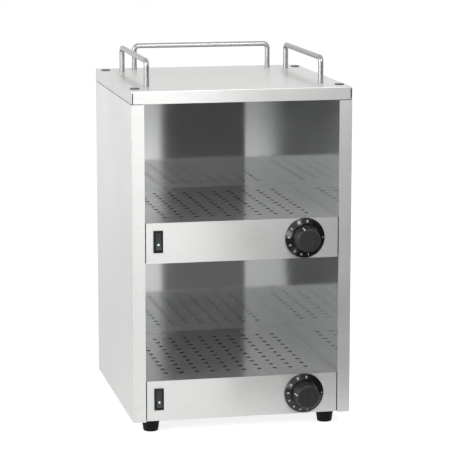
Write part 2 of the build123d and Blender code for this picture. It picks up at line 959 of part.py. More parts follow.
    # Rocker, at rest with its top half pressed in; the profile turns about its pivot
    rest_angle = radians(-rocker_throw / 2)
    rocker_plane = Plane(
        origin=pivot,
        x_dir=(0, cos(rest_angle), sin(rest_angle)),
        z_dir=(1, 0, 0),
    )
    lower_face_end = Vector(-rocker_end, -rocker_height / 2)
    lower_face_top = Vector(-rocker_middle, 0)
    lower_face_slope = (lower_face_end - lower_face_top).normalized()
    lens_spot = lower_face_top + lower_face_slope * lens_drop
    lens_plane = Plane(
        origin=rocker_plane.from_local_coords(lens_spot),
        z_dir=rocker_plane.from_local_coords(Vector(lower_face_slope.Y, -lower_face_slope.X))
        - rocker_plane.origin,
    )
    with BuildPart() as rocker:
        with BuildSketch(rocker_plane):
            with BuildLine():
                Polyline(
                    (-rocker_middle, 0),
                    (-rocker_end, rocker_height / 2),
                    (rocker_heel, rocker_height / 2),
                    (rocker_back, rocker_back_height / 2),
                    (rocker_back, -rocker_back_height / 2),
                    (rocker_heel, -rocker_height / 2),
                    (-rocker_end, -rocker_height / 2),
                    close=True,
                )
            make_face()
        extrude(amount=rocker_width / 2, both=True)
        pin_length = window_width + 2 * pivot_engagement
        disc(
            Plane(origin=pivot - Vector(pin_length / 2, 0, 0), z_dir=(1, 0, 0)),
            pivot_diameter,
            pin_length,
        )
        disc(lens_plane, lens_diameter, -lens_depth, mode=Mode.SUBTRACT)
    save(rocker, f"{shelf}_rocker")

    with BuildPart() as lens:
        disc(lens_plane.offset(-lens_depth), lens_diameter, lens_depth + lens_proud)
    save(lens, f"{shelf}_indicator_lens")

# Nuts that clamp the two thermostat bushes
with BuildPart() as thermostat_nuts:
    for shelf, fascia_z, heater_floor_z, pointer_angle in shelves:
        with BuildSketch(facing_front(dial_x, front_y, dial_z(fascia_z))):
            RegularPolygon(bush_nut_width / 2, 6, major_radius=False)
            Circle(bush_diameter / 2 + running_clearance, mode=Mode.SUBTRACT)
        extrude(amount=bush_nut_height)
save(thermostat_nuts, "thermostat_nuts")

# Push-on blades behind the switches and the thermostats
blade_places = []
for shelf, fascia_z, heater_floor_z, pointer_angle in shelves:
    middle_z = switch_z(fascia_z)
    for step in (-1, 0, 1):
        blade_places.append((switch_x, front_y + housing_depth, middle_z + step * terminal_step))
    blade_places.append(
        (phase_terminal_x, skin_back_y + thermostat_depth, middle_z - terminal_step)
    )
    blade_places.append((element_outer_x, skin_back_y + thermostat_depth, middle_z))

with BuildPart() as control_terminals:
    for x, y, z in blade_places:
        block(
            x - blade_width / 2, x + blade_width / 2,
            y, y + blade_length,
            z - blade_thickness / 2, z + blade_thickness / 2,
        )
save(control_terminals, "control_terminals")

# Terminal block on the base plate, with a bore for each wire
block_top_z = floor_z + block_height
wire_z = floor_z + wire_floor_rise
with BuildPart() as terminal_block:
    block(
        block_x - block_width / 2, block_x + block_width / 2,
        front_y + block_front, front_y + block_front + block_depth,
        floor_z, block_top_z,
    )
    for x in (block_wire_x, riser_start_x):
        disc(
            facing_rear(x, front_y + block_front, wire_z),
            terminal_bore,
            terminal_bore_depth,
            mode=Mode.SUBTRACT,
        )
save(terminal_block, "terminal_block")

# Wires: each runs from blade to blade or from the terminal block
switch_blade_y = front_y + housing_depth + blade_length
thermostat_blade_y = skin_back_y + thermostat_depth + blade_length
run_y = front_y + wire_run_depth
pin_y = front_y + element_front - element_pin_length
block_entry_y = front_y + block_front + terminal_bore_depth
for shelf, fascia_z, heater_floor_z, pointer_angle in shelves:
    middle_z = switch_z(fascia_z)
    low_z = middle_z - terminal_step
    high_z = middle_z + terminal_step
    with BuildPart() as wires:
        tube(
            [
                (switch_x, switch_blade_y, low_z),
                (switch_x, run_y, low_z),
                (phase_terminal_x, run_y, low_z),
                (phase_terminal_x, thermostat_blade_y, low_z),
            ],
            wire_diameter,
            wire_bend,
        )
        disc(
            facing_rear(element_outer_x, thermostat_blade_y, middle_z),
            wire_diameter,
            pin_y - thermostat_blade_y,
        )
        tube(
            [
                (-element_outer_x, pin_y, middle_z),
                (-element_outer_x, run_y, middle_z),
                (switch_x, run_y, middle_z),
                (switch_x, switch_blade_y, middle_z),
            ],
            wire_diameter,
            wire_bend,
        )
        if shelf == "lower":
            tube(
                [
                    (block_wire_x, block_entry_y, wire_z),
                    (block_wire_x, run_y + 4 * wire_bend, wire_z),
                    (switch_x, run_y, high_z),
                    (switch_x, switch_blade_y, high_z),
                ],
                wire_diameter,
                wire_bend,
            )
        else:
            riser_y = front_y + riser_depth
            exit_z = upper_floor_z + wire_floor_rise
            exit_x = (switch_x - housing_width / 2 - inner_x) / 2
            tube(
                [
                    (riser_start_x, block_entry_y, wire_z),
                    (riser_start_x, riser_y, wire_z),
                    (-riser_x, riser_y, wire_z),
                    (-riser_x, riser_y, exit_z),
                    (exit_x, riser_y, exit_z),
                    (exit_x, run_y, exit_z + wire_bend),
                    (switch_x, run_y, high_z),
                    (switch_x, switch_blade_y, high_z),
                ],
                wire_diameter,
                wire_bend,
            )
    save(wires, f"{shelf}_wires")

# Grommets where the riser wire crosses the wall
with BuildPart() as wire_grommets:
    for riser_z in (floor_z + wire_floor_rise, upper_floor_z + wire_floor_rise):
        wall_face = Plane(origin=(-inner_x, front_y + riser_depth, riser_z), z_dir=(1, 0, 0))
        disc(wall_face, grommet_flange, grommet_flange_thickness)
        disc(wall_face, grommet_diameter, -liner)
        disc(wall_face.offset(-liner), grommet_flange, -grommet_flange_thickness)
        disc(
            wall_face.offset(grommet_flange_thickness),
            wire_diameter + 2 * grommet_bore_clearance,
            -liner - 2 * grommet_flange_thickness,
            mode=Mode.SUBTRACT,
        )
save(wire_grommets, "wire_grommets")

# Cable gland in the rear wall
with BuildPart() as cable_gland:
    disc(facing_rear(block_x, rear_y, gland_z), gland_flange, gland_flange_thickness)
    disc(facing_rear(block_x, rear_y, gland_z), gland_diameter, gland_projection)
    gland_lip = cable_gland.edges().filter_by(GeomType.CIRCLE).sort_by(Axis.Y)[-1]
    fillet(gland_lip, gland_clearance * 5)
    disc(facing_front(block_x, rear_y, gland_z), gland_diameter, gland_tail)
    disc(
        facing_rear(block_x, rear_y - gland_tail, gland_z),
        gland_bore,
        gland_tail + gland_projection,
        mode=Mode.SUBTRACT,
    )
save(cable_gland, "cable_gland")

# Feet: tapered rubber, each held by a screw from below and a nut on the base plate
with BuildPart() as feet:
    for x, y in foot_places:
        with BuildSketch(Plane(origin=(x, y, 0), x_dir=(1, 0, 0), z_dir=(0, -1, 0))):
            with BuildLine():
                Polyline(
                    (foot_screw_diameter / 2 + screw_clearance, foot_counterbore_depth),
                    (foot_counterbore / 2, foot_counterbore_depth),
                    (foot_counterbore / 2, 0),
                    (foot_bottom_diameter / 2, 0),
                    (foot_top_diameter / 2, base_z),
                    (foot_screw_diameter / 2 + screw_clearance, base_z),
                    close=True,
                )
            make_face()
        revolve(axis=Axis((x, y, 0), (0, 0, 1)))
save(feet, "feet")

with BuildPart() as foot_screws:
    for x, y in foot_places:
        disc(
            Plane(origin=(x, y, foot_counterbore_depth), z_dir=(0, 0, -1)),
            foot_screw_head,
            foot_screw_head_height,
        )
        disc(
            Plane(origin=(x, y, foot_counterbore_depth), z_dir=(0, 0, 1)),
            foot_screw_diameter,
            floor_z + foot_nut_height - foot_counterbore_depth,
        )
save(foot_screws, "foot_screws")

with BuildPart() as foot_nuts:
    hex_nuts(
        foot_places,
        floor_z,
        foot_nut_width,
        foot_nut_height,
        foot_screw_diameter + 2 * running_clearance,
    )
save(foot_nuts, "foot_nuts")

with BuildPart() as rear_panel_screws:
    for x, z in panel_screw_places:
        disc(facing_rear(x, rear_y, z), panel_screw_head, panel_screw_head_height)
        disc(facing_front(x, rear_y, z), panel_screw_diameter, panel_screw_length)
    screw_heads = rear_panel_screws.edges().filter_by(GeomType.CIRCLE).filter_by(
        lambda edge: edge.center().Y > rear_y + panel_screw_head_height - 0.01
    )
    fillet(screw_heads, panel_screw_head_height / 3)
save(rear_panel_screws, "rear_panel_screws")
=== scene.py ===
# %% [markdown]
# # A two-tier cup warmer in stainless steel
# This lesson dresses a finished CAD model, so that a render of it looks like the real machine: a
# steel cabinet with two heated shelves, each with a rocker switch and a thermostat dial, and a
# railed top. The CAD model gives every size. Blender adds smooth bends, rounded edges, printed
# numbers, materials and light. The front faces -Y, the floor is Z = 0, and all lengths are in
# metres.

# %% Load the CAD model
import bpy
import bmesh
import json
from math import atan2, cos, pi, radians, sin
from mathutils import Matrix, Vector

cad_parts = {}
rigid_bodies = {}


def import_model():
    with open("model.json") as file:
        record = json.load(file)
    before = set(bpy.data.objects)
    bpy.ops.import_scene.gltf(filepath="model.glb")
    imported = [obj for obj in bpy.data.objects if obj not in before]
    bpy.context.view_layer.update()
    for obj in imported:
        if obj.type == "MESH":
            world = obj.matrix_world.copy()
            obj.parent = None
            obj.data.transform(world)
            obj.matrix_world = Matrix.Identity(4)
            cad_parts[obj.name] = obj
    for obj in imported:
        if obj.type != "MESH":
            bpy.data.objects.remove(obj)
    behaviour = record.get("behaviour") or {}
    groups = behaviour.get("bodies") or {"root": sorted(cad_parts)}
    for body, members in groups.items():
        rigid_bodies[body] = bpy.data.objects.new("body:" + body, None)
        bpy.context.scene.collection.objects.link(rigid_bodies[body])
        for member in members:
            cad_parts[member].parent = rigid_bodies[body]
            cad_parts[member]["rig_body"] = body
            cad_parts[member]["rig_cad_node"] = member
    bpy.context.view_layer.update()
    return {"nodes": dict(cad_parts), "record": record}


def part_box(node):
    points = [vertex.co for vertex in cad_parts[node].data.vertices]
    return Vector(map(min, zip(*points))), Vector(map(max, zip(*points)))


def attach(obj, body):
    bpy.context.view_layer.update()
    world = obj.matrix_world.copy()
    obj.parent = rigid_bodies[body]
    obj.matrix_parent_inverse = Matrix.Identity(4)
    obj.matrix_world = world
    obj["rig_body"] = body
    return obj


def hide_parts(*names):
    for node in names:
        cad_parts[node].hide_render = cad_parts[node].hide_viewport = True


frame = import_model()
nodes = frame["nodes"]

# %% [markdown]
# The camera stands well back on the left and a little above the top plate, as a product
# photographer would stand it, so that the cabinet's upright edges stay nearly parallel. A long lens
# from far away gives that. Its place comes from the directions in which the cabinet's edges run in
# the photograph.

# %% Camera
bpy.ops.object.select_all(action="DESELECT")
bpy.ops.object.camera_add(
    location=(-0.6608, -3.17185, 0.8497), rotation=(radians(80.06), 0, radians(-11.93))
)
camera = bpy.context.object
camera.name = "camera"
camera.data.lens = 169.26
camera.data.sensor_width = 36
bpy.context.scene.camera = camera
print("camera", round((camera.location - Vector((0, 0, 0.27))).length, 2), "m from the cabinet")

# %% [markdown]
# Steel shows what stands round it, so the studio is white on all sides. The floor is a pale sheet
# that keeps the cabinet's soft shadow. It could be a plain white colour under strong lamps, but
# then the cabinet would be too bright as well. Instead the camera sees extra light from the floor,
# the steel sees a little of it, and what lights the cabinet stays at a plain level.

# %% Helpers for colours and nodes
def linear(hex_colour):
    """An sRGB hex colour as the linear RGBA that Blender's sockets take."""
    parts = [int(hex_colour[i:i + 2], 16) / 255 for i in (1, 3, 5)]
    return [c / 12.92 if c <= 0.04045 else ((c + 0.055) / 1.055) ** 2.4 for c in parts] + [1]


def add_node(tree, kind, sockets=None, settings=None):
    """Adds a node, sets its properties, and sets or links its input sockets."""
    node = tree.nodes.new(kind)
    for name, value in (settings or {}).items():
        setattr(node, name, value)
    for name, value in (sockets or {}).items():
        if isinstance(value, bpy.types.NodeSocket):
            tree.links.new(value, node.inputs[name])
        else:
            node.inputs[name].default_value = value
    return node


print("mid grey is", round(linear("#808080")[0], 3), "in linear light")

# %% Surroundings
def seen_light(tree):
    """1 where the camera, a reflection or a view through glass looks, else 0."""
    ray = add_node(tree, "ShaderNodeLightPath")
    either = add_node(
        tree, "ShaderNodeMath",
        {0: ray.outputs["Is Camera Ray"], 1: ray.outputs["Is Glossy Ray"]},
        {"operation": "MAXIMUM"},
    )
    return add_node(
        tree, "ShaderNodeMath", {0: either.outputs[0], 1: ray.outputs["Is Transmission Ray"]},
        {"operation": "MAXIMUM"},
    ).outputs[0]


world = bpy.data.worlds.new("studio")
world.use_nodes = True
bpy.context.scene.world = world
tree = world.node_tree
ambient_level = 0.55
strength = add_node(
    tree, "ShaderNodeMath", {0: seen_light(tree), 1: 1 - ambient_level, 2: ambient_level},
    {"operation": "MULTIPLY_ADD"},
)
background = tree.nodes["Background"]
background.inputs["Color"].default_value = linear("#ffffff")
tree.links.new(strength.outputs[0], background.inputs["Strength"])
bpy.context.scene.view_settings.view_transform = "Standard"
print("surroundings: white where seen,", ambient_level, "as light")

# %% Floor
camera_lift, steel_lift = 0.7, 0.5  # extra light that the camera and a reflection see
floor_side, floor_height = 16, -0.0002  # a hair below the feet, so that no two faces coincide
bpy.ops.object.select_all(action="DESELECT")
bpy.ops.mesh.primitive_plane_add(size=floor_side, location=(0, 0, floor_height))
floor = bpy.context.object
floor.name = "floor"
paper = bpy.data.materials.new("matt_white_paper")
paper.use_nodes = True
tree = paper.node_tree
tree.nodes.clear()
mottle = add_node(
    tree, "ShaderNodeTexNoise",
    {"Vector": add_node(tree, "ShaderNodeTexCoord").outputs["Object"], "Scale": 3.0},
)
tone = add_node(tree, "ShaderNodeValToRGB", {"Fac": mottle.outputs["Fac"]})
tone.color_ramp.elements[0].color = linear("#c4c4c4")
tone.color_ramp.elements[1].color = linear("#cacaca")
ray = add_node(tree, "ShaderNodeLightPath")
in_steel = add_node(
    tree, "ShaderNodeMath", {0: ray.outputs["Is Glossy Ray"], 1: steel_lift},
    {"operation": "MULTIPLY"},
)
extra = add_node(
    tree, "ShaderNodeMath",
    {0: ray.outputs["Is Camera Ray"], 1: camera_lift, 2: in_steel.outputs[0]},
    {"operation": "MULTIPLY_ADD"},
)
sheet = add_node(tree, "ShaderNodeBsdfDiffuse", {"Color": tone.outputs["Color"]})
lift = add_node(
    tree, "ShaderNodeEmission", {"Color": linear("#ffffff"), "Strength": extra.outputs[0]}
)
both = add_node(tree, "ShaderNodeAddShader", {0: sheet.outputs[0], 1: lift.outputs[0]})
add_node(tree, "ShaderNodeOutputMaterial", {"Surface": both.outputs[0]})
floor.data.materials.append(paper)
print("floor", tuple(floor.dimensions))

# %% [markdown]
# Soft lamps light the cabinet. The left one and the one behind it give the side panel its
# brightness. The front lamp stands where the left half of the satin front mirrors it, so the front
# glows there and grows darker to the right, as it does in the photograph. The key lamp, left of the
# camera, puts the highlight on the left of the two glossy dial rings. The wide lamp stands high in
# front and lifts the whole front.

# %% Lamps
def add_lamp(name, place, aim, side, power):
    """A square soft lamp at a place, turned to face a point."""
    bpy.ops.object.select_all(action="DESELECT")
    turn = (Vector(aim) - Vector(place)).to_track_quat("-Z", "Y").to_euler()
    bpy.ops.object.light_add(type="AREA", location=place, rotation=turn)
    lamp = bpy.context.object
    lamp.name = name
    lamp.data.size = side
    lamp.data.energy = power
    print(name, power, "W,", round((Vector(aim) - Vector(place)).length, 2), "m away")


add_lamp("left_lamp", (-2.0, -0.9, 1.0), (0, 0, 0.2), 1.6, 32)
add_lamp("rear_left_lamp", (-0.75, 2.0, 0.25), (-0.16, 0.1, 0.1), 0.7, 0.6)
add_lamp("front_lamp", (0.56, -2.36, 1.3), (0, 0, 0.3), 0.5, 6.2)
add_lamp("key_lamp", (-1.22, -2.9, 0.33), (0.09, -0.16, 0.2), 0.56, 7)
add_lamp("wide_lamp", (0.6, -2.6, 1.9), (0, 0, 0.3), 1.4, 32)

# %% [markdown]
# Steel that sees only white looks flat. A photographer lays dark cards just outside the picture. On
# the right in front of the cabinet lies a grey one, folded so that one leaf stands up, and the satin
# front fades towards it. On the left lies a flat darker one, which the liner's right wall mirrors.
# The gap between the two stays bright, and the back wall shows its edge. Dark walls would do the
# same but would dim the room. Only reflections see the cards, so they block no view and cast no
# shadow.

# %% Dark cards
def card_paper(name, colour):
    """Matt dyed card, which has no gloss to speak of."""
    material = bpy.data.materials.new(name)
    material.use_nodes = True
    shader = material.node_tree.nodes["Principled BSDF"]
    shader.inputs["Base Color"].default_value = linear(colour)
    shader.inputs["Roughness"].default_value = 0.9
    return material


grey_card = card_paper("matt_grey_card", "#585858")
dark_card = card_paper("matt_dark_card", "#4c4c4c")


def add_card(name, finish, corner, turn, middle, size, lean=0.0):
    """A card leaf whose middle is given from a corner on the floor, turned by some degrees."""
    bpy.ops.object.select_all(action="DESELECT")
    place = Vector(corner) + Matrix.Rotation(radians(turn), 3, "Z") @ Vector(middle)
    bpy.ops.mesh.primitive_plane_add(size=1, location=place, rotation=(lean, 0, radians(turn)))
    card = bpy.context.object
    card.name = name
    card.scale = (*size, 1)
    bpy.ops.object.transform_apply(location=True, rotation=True, scale=True)
    card.visible_camera = card.visible_shadow = card.visible_diffuse = False
    card.data.materials.append(finish)
    print(name, [round(v, 2) for v in card.dimensions], "m")


right_corner, right_turn = (0.020, -0.30, 0.001), 10.1
left_corner, left_turn = (-0.015, -0.50, 0.001), -12.5
add_card("right_card_flat", grey_card, right_corner, right_turn, (0.55, -0.38, 0), (1.1, 0.76))
add_card(
    "right_card_upright", grey_card, right_corner, right_turn, (0.55, -0.76, 0.45), (1.1, 0.9), pi / 2
)
add_card("left_card_flat", dark_card, left_corner, left_turn, (-1.2, -2.1, 0), (2.4, 4.2))

# %% [markdown]
# ## Steel
# The cabinet is bent from satin stainless sheet. An abrasive belt leaves fine lines that run level,
# round the sides and across the front, and they smear every reflection up and down. Stretched noise
# gives those lines: it changes the roughness and a very shallow bump. Real belt lines are about
# 0.1 mm apart, too fine for this view, so they are drawn at about 0.6 mm. The sheet keeps faint
# broad clouds too, because no sheet is quite flat.
#
# The liner and the trays are bright rolled sheet, nearly a mirror. In a closed compartment light
# goes from wall to wall and loses some of its strength each time, and a perfect mirror would end in
# black. Real sheet has a little milkiness from wiping and heat, which picks up light straight from
# the lamps. The haze gives that, and the trays, which get the most wear, have more of it.

# %% Satin and mirror sheet
line_length = 60  # how many times longer than wide a grain line is
line_share = 0.7  # how much the lines change the gloss, beside the clouds at 1


def steel_sheet(name, light, dark, rough, spread, along, line_mm, depth, smear=None, haze=0.0):
    """Stainless sheet with its grain along some axes. It smears a reflection along smear."""
    material = bpy.data.materials.new(name)
    material.use_nodes = True
    tree = material.node_tree
    place = add_node(tree, "ShaderNodeTexCoord").outputs["Object"]
    across = 1000 / line_mm
    stretch = [across / line_length if axis in along else across for axis in "XYZ"]
    lines = add_node(
        tree, "ShaderNodeTexNoise",
        {"Vector": add_node(tree, "ShaderNodeMapping", {"Vector": place, "Scale": stretch}).outputs[0],
         "Scale": 1.0, "Detail": 2.0, "Roughness": 0.6},
    ).outputs["Fac"]
    clouds = add_node(
        tree, "ShaderNodeTexNoise", {"Vector": place, "Scale": 9.0, "Detail": 2.0}
    ).outputs["Fac"]
    mixed = add_node(
        tree, "ShaderNodeMath", {0: lines, 1: line_share, 2: clouds}, {"operation": "MULTIPLY_ADD"}
    ).outputs[0]
    tone = add_node(tree, "ShaderNodeValToRGB", {"Fac": lines})
    tone.color_ramp.elements[0].position = 0.3
    tone.color_ramp.elements[0].color = linear(dark)
    tone.color_ramp.elements[1].position = 0.7
    tone.color_ramp.elements[1].color = linear(light)
    gloss = add_node(
        tree, "ShaderNodeMapRange",
        {"Value": mixed, "From Min": 0.5, "From Max": 1.2, "To Min": rough - spread,
         "To Max": rough + spread},
    ).outputs[0]
    bump = add_node(
        tree, "ShaderNodeBump", {"Height": lines, "Strength": 0.25, "Distance": depth}
    ).outputs[0]
    shader = tree.nodes["Principled BSDF"]
    shader.inputs["Metallic"].default_value = 1 - haze
    if smear:
        shader.inputs["Anisotropic"].default_value = 0.75
        ways = add_node(tree, "ShaderNodeCombineXYZ", dict(zip("XYZ", smear)))
        tree.links.new(ways.outputs[0], shader.inputs["Tangent"])
    tree.links.new(tone.outputs["Color"], shader.inputs["Base Color"])
    tree.links.new(gloss, shader.inputs["Roughness"])
    tree.links.new(bump, shader.inputs["Normal"])
    return material


satin_mm, bright_mm = 0.6, 0.5
# Satin stainless with level lines round the sides and rear: a soft glow drawn out up and down.
satin_round = steel_sheet(
    "satin_stainless_wrapped", "#cfd0ce", "#c8c9c7", 0.38, 0.04, "XY", satin_mm, 0.00001, (0, 0, 1)
)
# The same sheet on the front and the cover, with the lines from left to right.
satin_across = steel_sheet(
    "satin_stainless_across", "#cfd0ce", "#c8c9c7", 0.36, 0.04, "X", satin_mm, 0.00001, (0, 1, 1)
)
# Bright rolled stainless liner: clear dark and light mirror images with hardly any grain.
bright_sheet = steel_sheet(
    "bright_stainless_liner", "#c6c7c7", "#c0c1c1", 0.06, 0.02, "X", bright_mm, 0.000002, haze=0.12
)
# Bright rolled stainless trays, worn by use: the same images, blurred and a little milky.
tray_sheet = steel_sheet(
    "bright_stainless_tray", "#c6c7c7", "#bfc0c0", 0.13, 0.02, "X", bright_mm, 0.000001, haze=0.30
)
print("satin grain", satin_mm, "mm wide, liner grain", bright_mm, "mm wide")

# %% [markdown]
# The other finishes are moulded plastics, rubber, plated steel, brass and wool. Each gets its own
# colour, gloss and a grain from noise: moulded black plastic has a fine leather of 0.4 mm, cast
# rubber is duller with 0.5 mm dimples, and mineral wool is a mat of fibres. One function makes
# them all, because they differ only in numbers. The pores of a rough black surface trap light, so
# such a finish gets less gleam than a smooth one and stays black.

# %% Plastics, rubber and plated parts
def grained(name, light, dark, rough, spread, grain_mm, depth, metallic=0.0, ior=None, gleam=0.5):
    """A cast, moulded or plated finish with an even grain. Pores take gleam off a rough face."""
    material = bpy.data.materials.new(name)
    material.use_nodes = True
    tree = material.node_tree
    place = add_node(tree, "ShaderNodeTexCoord").outputs["Object"]
    grain = add_node(
        tree, "ShaderNodeTexNoise",
        {"Vector": place, "Scale": 1000 / grain_mm, "Detail": 3.0, "Roughness": 0.55},
    ).outputs["Fac"]
    tone = add_node(tree, "ShaderNodeValToRGB", {"Fac": grain})
    tone.color_ramp.elements[0].position = 0.3
    tone.color_ramp.elements[0].color = linear(dark)
    tone.color_ramp.elements[1].position = 0.7
    tone.color_ramp.elements[1].color = linear(light)
    gloss = add_node(
        tree, "ShaderNodeMapRange",
        {"Value": grain, "From Min": 0.3, "From Max": 0.7, "To Min": rough - spread,
         "To Max": rough + spread},
    ).outputs[0]
    bump = add_node(
        tree, "ShaderNodeBump", {"Height": grain, "Strength": 0.4, "Distance": depth}
    ).outputs[0]
    shader = tree.nodes["Principled BSDF"]
    shader.inputs["Metallic"].default_value = metallic
    shader.inputs["Specular IOR Level"].default_value = gleam
    if ior:
        shader.inputs["IOR"].default_value = ior
    tree.links.new(tone.outputs["Color"], shader.inputs["Base Color"])
    tree.links.new(gloss, shader.inputs["Roughness"])
    tree.links.new(bump, shader.inputs["Normal"])
    return material


finishes = {
    # Satin stainless, for any sheet that has no finish of its own below.
    "stainless_steel": satin_across,
    # Bright rolled stainless: the mirror of the liner.
    "mirror_stainless": bright_sheet,
    # Drawn and polished rod: a bright core line between two grey edges.
    "bright_rod": grained(
        "polished_stainless_rod", "#a4a4a3", "#9c9c9b", 0.30, 0.03, 1.5, 0.000001, 1.0
    ),
    # Moulded charcoal ABS: nearly black, with a dull sheen that shows the knob's cone.
    "black_knob_plastic": grained(
        "moulded_charcoal_abs", "#28282a", "#1f1f20", 0.42, 0.06, 0.4, 0.00003, ior=1.53, gleam=0.35
    ),
    # Gloss black ABS: black with one clear highlight on the slope of the ring.
    "black_ring_plastic": grained(
        "gloss_black_abs", "#101011", "#0b0b0c", 0.16, 0.03, 2.0, 0.00001, ior=1.53
    ),
    # White paint in a groove or printed: matt and a little uneven.
    "white_inlay": grained("white_paint_fill", "#e2e2de", "#d6d6d2", 0.45, 0.05, 0.5, 0.00001, ior=1.5),
    # Moulded black nylon: the deep black frame of a switch.
    "black_switch_plastic": grained(
        "black_nylon_frame", "#0d0e0d", "#080908", 0.30, 0.05, 0.4, 0.00002, ior=1.53, gleam=0.3
    ),
    # Moulded dark grey rocker: lighter than its frame, so the key stands out.
    "rocker_plastic": grained(
        "moulded_dark_grey_rocker", "#2c2e2d", "#242625", 0.50, 0.05, 0.4, 0.00002, ior=1.53, gleam=0.35
    ),
    # Moulded dark grey polythene: soft caps with a waxy sheen.
    "cap_plastic": grained(
        "dark_grey_polythene_cap", "#4a4b4d", "#3f4042", 0.40, 0.06, 0.5, 0.00002, ior=1.51
    ),
    # Cast black rubber: dimpled, and without a highlight.
    "foot_rubber": grained(
        "cast_black_rubber", "#0e0e0e", "#090909", 0.60, 0.08, 0.5, 0.00005, ior=1.52, gleam=0.15
    ),
    # Mineral wool mat: straw-coloured fibres with no gloss.
    "mineral_wool": grained("mineral_wool_mat", "#c8b27a", "#8f7b4c", 0.95, 0.03, 1.2, 0.0006, ior=1.5),
    # Heater tube, oxidised by its own heat: brown-grey and dull.
    "element_sheath": grained(
        "oxidised_nickel_steel_tube", "#5a5550", "#3d3a38", 0.48, 0.08, 1.5, 0.00004, 1.0
    ),
    # Bright zinc plate on screws, nuts and brackets: a cool blue-white metal.
    "zinc_steel": grained("bright_zinc_plate", "#c6cad0", "#b3b8c0", 0.28, 0.07, 1.0, 0.00002, 1.0),
    # Moulded phenolic of the thermostat body: brown-black with a low gloss.
    "phenolic": grained(
        "brown_black_phenolic", "#2c2420", "#1f1a18", 0.38, 0.06, 0.6, 0.00003, ior=1.6
    ),
    # Drawn copper tube of the capillary: warm orange metal.
    "copper_alloy": grained("drawn_copper_tube", "#c58a67", "#a86f4e", 0.30, 0.07, 1.0, 0.00002, 1.0),
    # Tinned brass blades: pale yellow metal.
    "plated_brass": grained("tinned_brass_blade", "#cfc39a", "#b9ac81", 0.28, 0.06, 0.8, 0.00002, 1.0),
    # Silicone sleeve on the heater wires: soft matt black.
    "wire_insulation": grained(
        "black_silicone_wire_sleeve", "#262626", "#1b1b1b", 0.55, 0.06, 0.6, 0.00003, ior=1.43
    ),
    # Moulded grey nylon gland: mid grey with a slight sheen.
    "grey_nylon": grained("grey_nylon_gland", "#6c6f71", "#5f6264", 0.42, 0.06, 0.5, 0.00003, ior=1.53),
    # Unglazed steatite block: cream ceramic, dull and a little grainy.
    "block_ceramic": grained(
        "unglazed_steatite", "#e6e0d2", "#d5cebd", 0.55, 0.07, 0.8, 0.00004, ior=1.55
    ),
}
print(len(finishes), "finishes")

# %% [markdown]
# The small lamp lens in the rocker is clear green acrylic with a lamp behind it, and it is lit in
# the photograph, a pale green spot. Its shader is a glossy green plastic that gives off a little
# light of its own.

# %% Lamp lens
lens_glow = 0.35
lens_finish = grained("lit_green_acrylic", "#a9e0c4", "#8fd2b0", 0.18, 0.03, 0.6, 0.00001, ior=1.49)
lens_shader = lens_finish.node_tree.nodes["Principled BSDF"]
lens_shader.inputs["Emission Color"].default_value = linear("#b4ecd2")
lens_shader.inputs["Emission Strength"].default_value = lens_glow
finishes["green_lens"] = lens_finish
print("lens glow", lens_glow)

# %% Give every CAD node its finish
slot_of = {part["node"]: part["material_slot"] for part in frame["record"]["subparts"]}
own_finish = {
    "left_outer_panel": satin_round, "right_outer_panel": satin_round,
    "rear_outer_panel": satin_round, "lower_tray": tray_sheet, "upper_tray": tray_sheet,
}  # the pieces whose grain or gloss differs from that of their slot
for name, node in nodes.items():
    for material_slot in node.material_slots:
        material_slot.material = own_finish.get(name, finishes[slot_of[name]])
print(len(slot_of), "nodes dressed")

# %% [markdown]
# ## Folded sheets
# On the real cabinet each panel is cut flat and folded on a press brake, which leaves a small round
# bend. The CAD meshes have those bends as narrow flat strips. A copy of each sheet is merged, its
# flat areas are joined again, and it is shaded smoothly across the strips, with the flats kept
# flat by weighted normals. The moulded pieces also get their edges rounded by a bevel, since no
# mould has a sharp edge.

# %% Helpers to make finished copies
def only(obj):
    """Selects one object alone and makes it active."""
    bpy.ops.object.select_all(action="DESELECT")
    obj.select_set(True)
    bpy.context.view_layer.objects.active = obj


def apply_modifier(obj, kind, **settings):
    """Adds a modifier with its settings and applies it."""
    only(obj)
    bpy.ops.object.modifier_add(type=kind)
    modifier = obj.modifiers[-1]
    for name, value in settings.items():
        setattr(modifier, name, value)
    bpy.ops.object.modifier_apply(modifier=modifier.name)


def smooth(obj, angle=35):
    """Smooth shading up to an angle, with large flats kept flat."""
    only(obj)
    bpy.ops.object.shade_smooth_by_angle(angle=radians(angle))
    apply_modifier(obj, "WEIGHTED_NORMAL", keep_sharp=True, weight=90)


def fit_piece(obj, name, body, material, replaced=()):
    """Names a finished piece, gives it its finish and joins it to the CAD frame."""
    obj.name = obj.data.name = name
    obj.data.materials.clear()
    obj.data.materials.append(material)
    only(obj)
    bpy.ops.object.transform_apply(location=True, rotation=True, scale=True)
    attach(obj, body)
    if replaced:
        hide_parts(*replaced)
    return obj


merge_gap = 0.000002  # vertices nearer than this are one


def finished_copy(node_name, name, body="cabinet", edge=0.0, material=None, segments=2, flats=True):
    """A merged, smoothly shaded copy of a CAD node, with edges rounded by edge metres."""
    copy = nodes[node_name].copy()
    copy.data = nodes[node_name].data.copy()
    copy.parent = None
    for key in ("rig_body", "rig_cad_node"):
        if key in copy:
            del copy[key]
    bpy.context.scene.collection.objects.link(copy)
    only(copy)
    bpy.ops.object.mode_set(mode="EDIT")
    bpy.ops.mesh.select_all(action="SELECT")
    bpy.ops.mesh.remove_doubles(threshold=merge_gap)
    if flats:
        bpy.ops.mesh.dissolve_limited(angle_limit=radians(0.5))
    bpy.ops.object.mode_set(mode="OBJECT")
    if edge:
        apply_modifier(copy, "BEVEL", width=edge, segments=segments, limit_method="ANGLE",
                       angle_limit=radians(40), use_clamp_overlap=True)
    smooth(copy)
    slot = slot_of[node_name]
    return fit_piece(copy, name, body, material or finishes[slot], [node_name])


